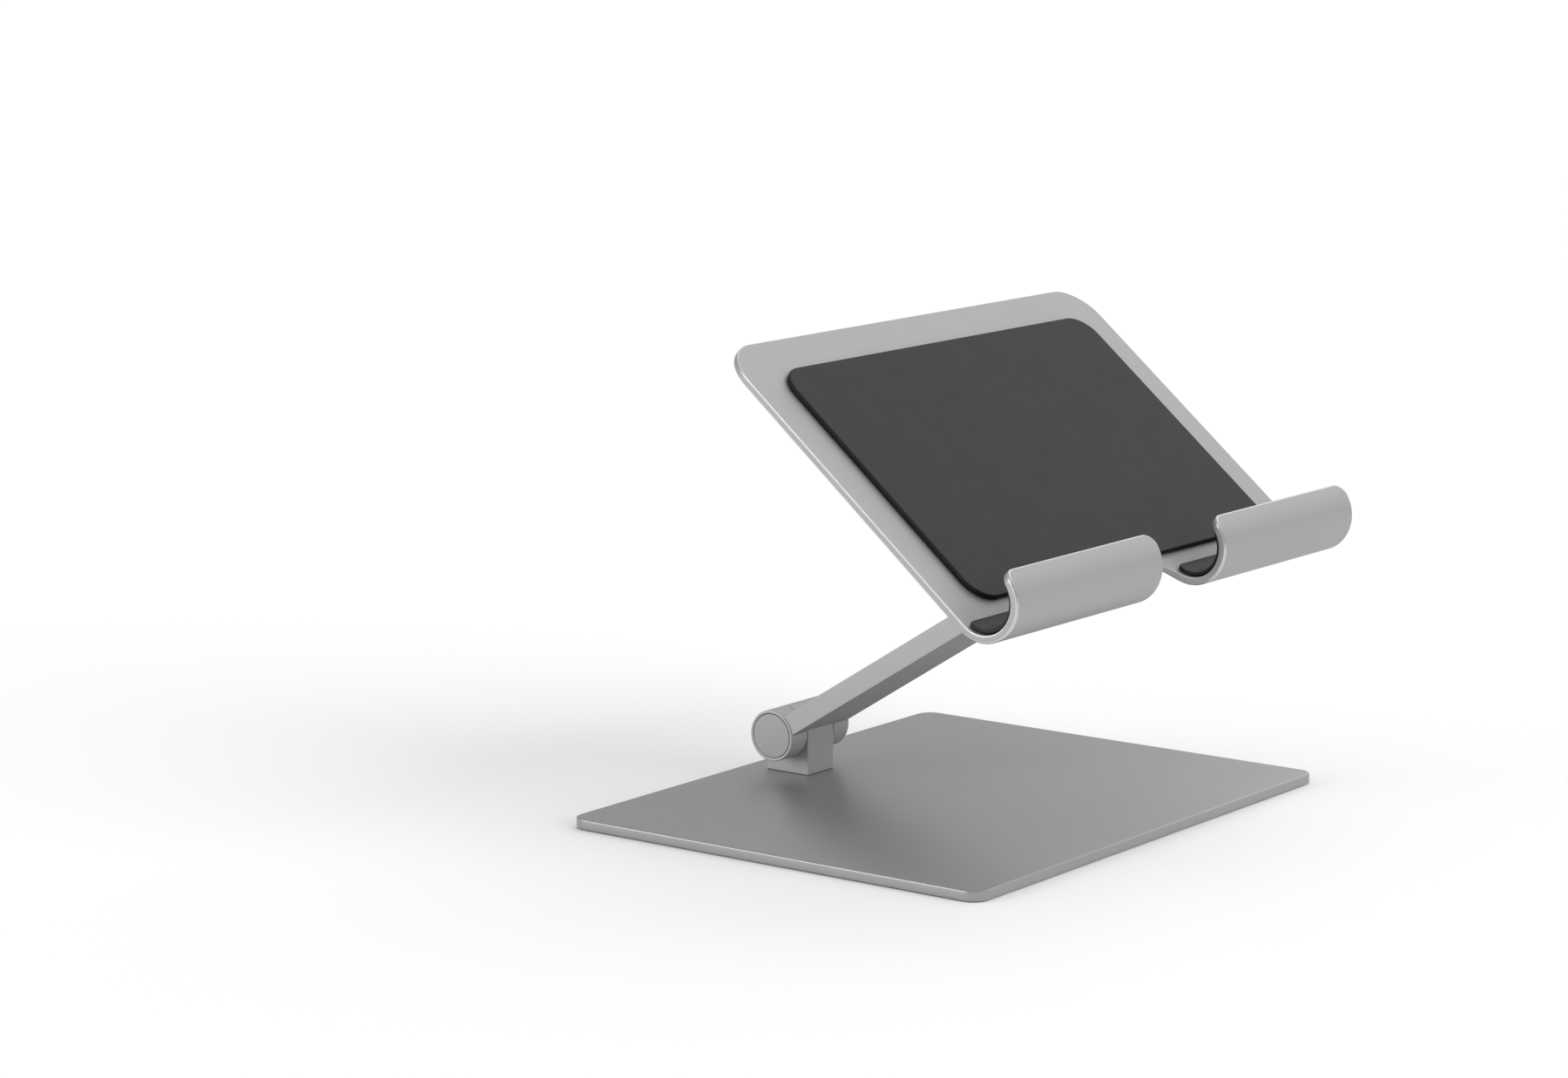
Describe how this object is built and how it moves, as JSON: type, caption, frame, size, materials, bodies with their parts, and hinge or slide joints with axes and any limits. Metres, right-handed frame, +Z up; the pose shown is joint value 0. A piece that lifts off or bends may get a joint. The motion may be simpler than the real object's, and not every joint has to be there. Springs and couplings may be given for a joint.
{
  "type": "tablet stand",
  "caption": "Folding desk stand: flat base plate, short post, one hinged arm and a tilting back plate with two hooks that hold the edge of a tablet.",
  "frame": {"origin": "centre of the underside of the mat below the base plate, on the surface that the stand rests on", "axes": "+X across the stand along its longest side, to the user's right; +Y away from the user, towards the post; +Z up"},
  "size_m": [0.1734, 0.1519, 0.1405],
  "materials": {
    "base_satin_silver": "satin",
    "satin_aluminium": "satin",
    "zinc_steel": "satin",
    "friction_washer": "matte",
    "black_silicone": "matte"
  },
  "bodies": {
    "base": {"base_plate": "base_satin_silver", "base_mat": "black_silicone", "post": "satin_aluminium", "post_screw_front": "zinc_steel", "post_screw_back": "zinc_steel"},
    "arm": {"arm": "satin_aluminium", "lower_bolt": "zinc_steel", "lower_nut": "zinc_steel", "lower_disc_spring_left": "zinc_steel", "lower_disc_spring_right": "zinc_steel", "lower_friction_washer_left": "friction_washer", "lower_friction_washer_right": "friction_washer", "lower_cap_left": "satin_aluminium", "lower_cap_right": "satin_aluminium", "upper_bolt": "zinc_steel", "upper_nut": "zinc_steel", "upper_disc_spring_left": "zinc_steel", "upper_disc_spring_right": "zinc_steel", "upper_friction_washer_left": "friction_washer", "upper_friction_washer_right": "friction_washer", "upper_cap_left": "satin_aluminium", "upper_cap_right": "satin_aluminium"},
    "cradle": {"cradle": "satin_aluminium", "cradle_bracket": "satin_aluminium", "bracket_screw_lower_left": "zinc_steel", "bracket_screw_lower_right": "zinc_steel", "bracket_screw_upper_left": "zinc_steel", "bracket_screw_upper_right": "zinc_steel", "hook_lining_left": "black_silicone", "hook_lining_right": "black_silicone", "back_pad": "black_silicone"}
  },
  "joints": [
    {"name": "lower_hinge", "type": "hinge", "parent": "base", "child": "arm", "pos_m": [0, 0.05428, 0.01552], "axis": [-1, 0, 0], "range_deg": [-16, 70]},
    {"name": "upper_hinge", "type": "hinge", "parent": "arm", "child": "cradle", "pos_m": [0, -0.04148, 0.07513], "axis": [1, 0, 0], "range_deg": [-71, 79]}
  ]
}
